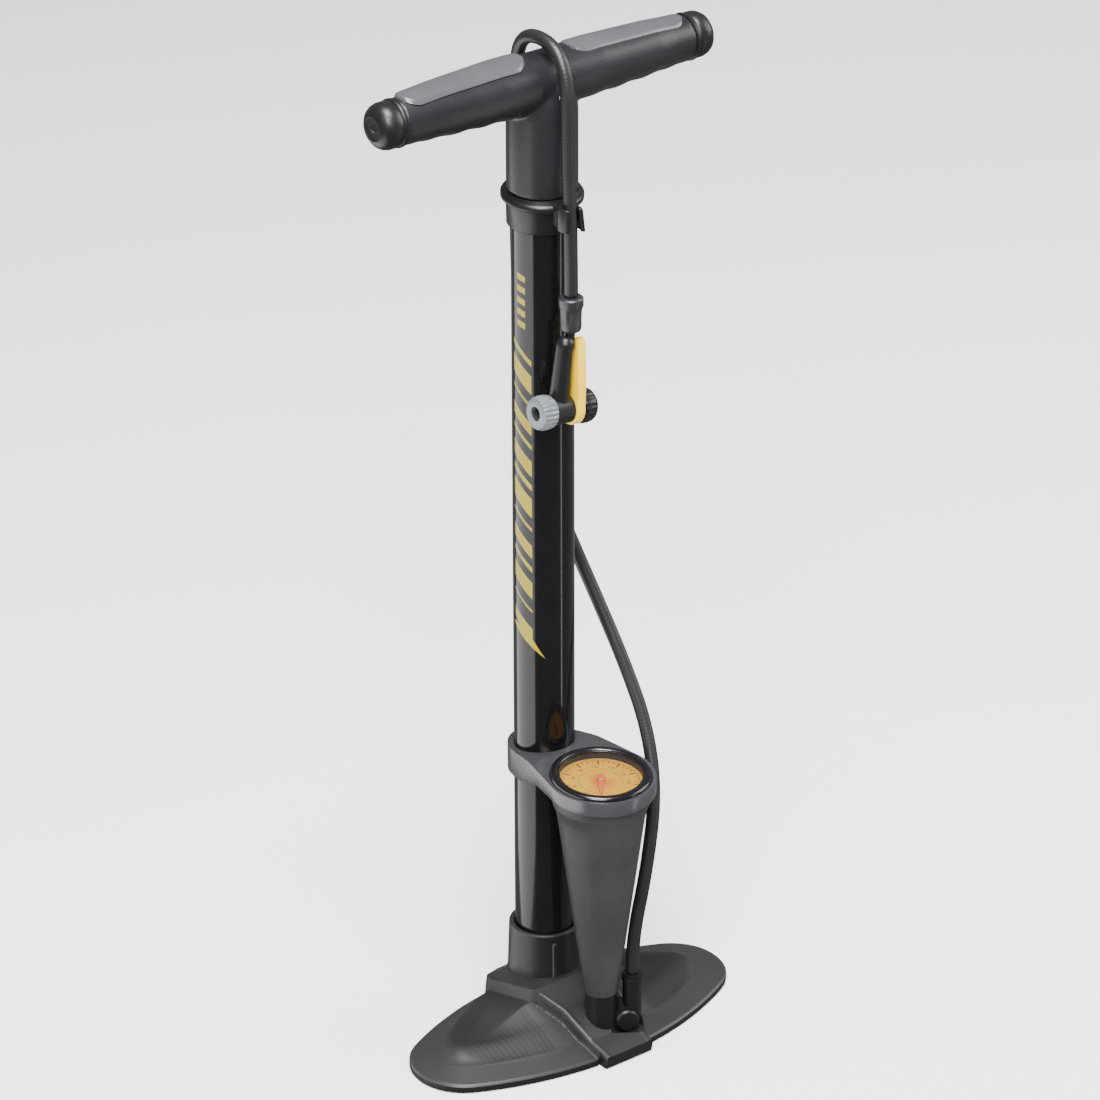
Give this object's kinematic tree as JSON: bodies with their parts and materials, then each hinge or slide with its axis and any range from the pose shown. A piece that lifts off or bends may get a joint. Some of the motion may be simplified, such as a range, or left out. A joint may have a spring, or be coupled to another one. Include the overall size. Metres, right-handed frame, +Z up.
{
  "type": "floor pump",
  "caption": "Tall floor pump for bicycle tyres with T handle, barrel, oval foot, dial gauge on a tapered tower, hose and a twin valve head with lever.",
  "frame": {"origin": "on the floor under the barrel's axis, at the middle of the centre rubber pad", "axes": "+Z up the barrel, -Y to the side with the gauge, +X along the handle"},
  "size_m": [0.234, 0.1237, 0.629],
  "materials": {
    "base_plastic": "satin moulded, finely ribbed",
    "rubber": "matt rubber",
    "steel": "zinc plated",
    "barrel_paint": "gloss black paint with plain yellow slanted bars",
    "rod_steel": "polished hard chrome",
    "aluminium": "turned",
    "brass": "turned",
    "black_plastic": "satin",
    "handle_rubber": "fine grained satin",
    "grey_pad": "soft satin grey",
    "tower_plastic": "satin moulded",
    "bracket_metal": "silver-grey satin paint",
    "bezel": "gloss",
    "lens": "clear polished",
    "dial": "printed dial",
    "needle_orange": "satin",
    "hose_rubber": "smooth rubber",
    "ferrule": "satin black crimp",
    "silver_cap": "knurled silver-grey",
    "yellow_plastic": "satin yellow"
  },
  "bodies": {
    "root": {"base_plate": "base_plastic", "foot_pad_1": "rubber", "foot_pad_2": "rubber", "foot_pad_3": "rubber", "foot_pad_4": "rubber", "centre_pad": "rubber", "base_screws": "steel", "barrel": "barrel_paint", "barrel_plug": "aluminium", "plug_ring": "rubber", "valve_retainer": "brass", "valve_spring": "steel", "air_tube": "brass", "manifold": "brass", "elbow_nut": "black_plastic", "hose_elbow": "black_plastic", "gauge_tower": "tower_plastic", "gauge_pipe": "brass", "gauge_stem": "brass", "gauge_bracket": "bracket_metal", "bracket_screw": "steel", "gauge_bezel": "bezel", "gauge_lens": "lens", "gauge_case": "black_plastic", "gauge_dial": "dial", "movement_plate": "brass", "bourdon_tube": "brass", "collar": "black_plastic", "rod_bush": "black_plastic", "rod_wiper": "rubber", "hose": "hose_rubber", "head_ferrule": "ferrule", "head_body": "black_plastic", "presta_cap": "silver_cap", "schrader_cap": "black_plastic", "presta_grommet": "rubber", "schrader_grommet": "rubber", "valve_pin": "brass"},
    "handle": {"handle_core": "handle_rubber", "grip_pad_left": "grey_pad", "grip_pad_right": "grey_pad", "end_cap_left": "black_plastic", "end_cap_right": "black_plastic", "handle_pin": "steel", "piston_rod": "rod_steel", "piston": "aluminium", "piston_seal": "rubber", "piston_nut": "steel", "top_bumper": "rubber"},
    "lever": {"lever": "yellow_plastic"},
    "check_ball": {"valve_ball": "steel"},
    "sector": {"gauge_sector": "brass"},
    "needle": {"gauge_needle": "needle_orange", "gauge_pinion": "brass"}
  },
  "joints": [
    {"name": "handle_slide", "type": "slide", "parent": "root", "child": "handle", "axis": [0, 0, 1], "range_m": [0, 0.44], "deforming": ["hose"]},
    {"name": "lever_hinge", "type": "hinge", "parent": "root", "child": "lever", "pos_m": [-0.0105, -0.032, 0.4135], "axis": [0.9925, 0, -0.1219], "range_deg": [0, 90]},
    {"name": "check_ball_slide", "type": "slide", "parent": "root", "child": "check_ball", "axis": [0, 0, -1], "range_m": [0, 0.0014], "stiffness_N_per_m": 200, "deforming": ["valve_spring"]},
    {"name": "sector_hinge", "type": "hinge", "parent": "root", "child": "sector", "pos_m": [0, -0.06946, 0.17227], "axis": [0, -0.0523, 0.9986], "range_deg": [0, 30], "stiffness_Nm_per_rad": 0.002},
    {"name": "needle_hinge", "type": "hinge", "parent": "root", "child": "needle", "pos_m": [0, -0.054, 0.1845], "axis": [0, -0.0523, 0.9986], "range_deg": [-270, 0]}
  ],
  "couplings": [
    {"joint": "needle_hinge", "follows": "sector_hinge", "ratio": -9}
  ]
}
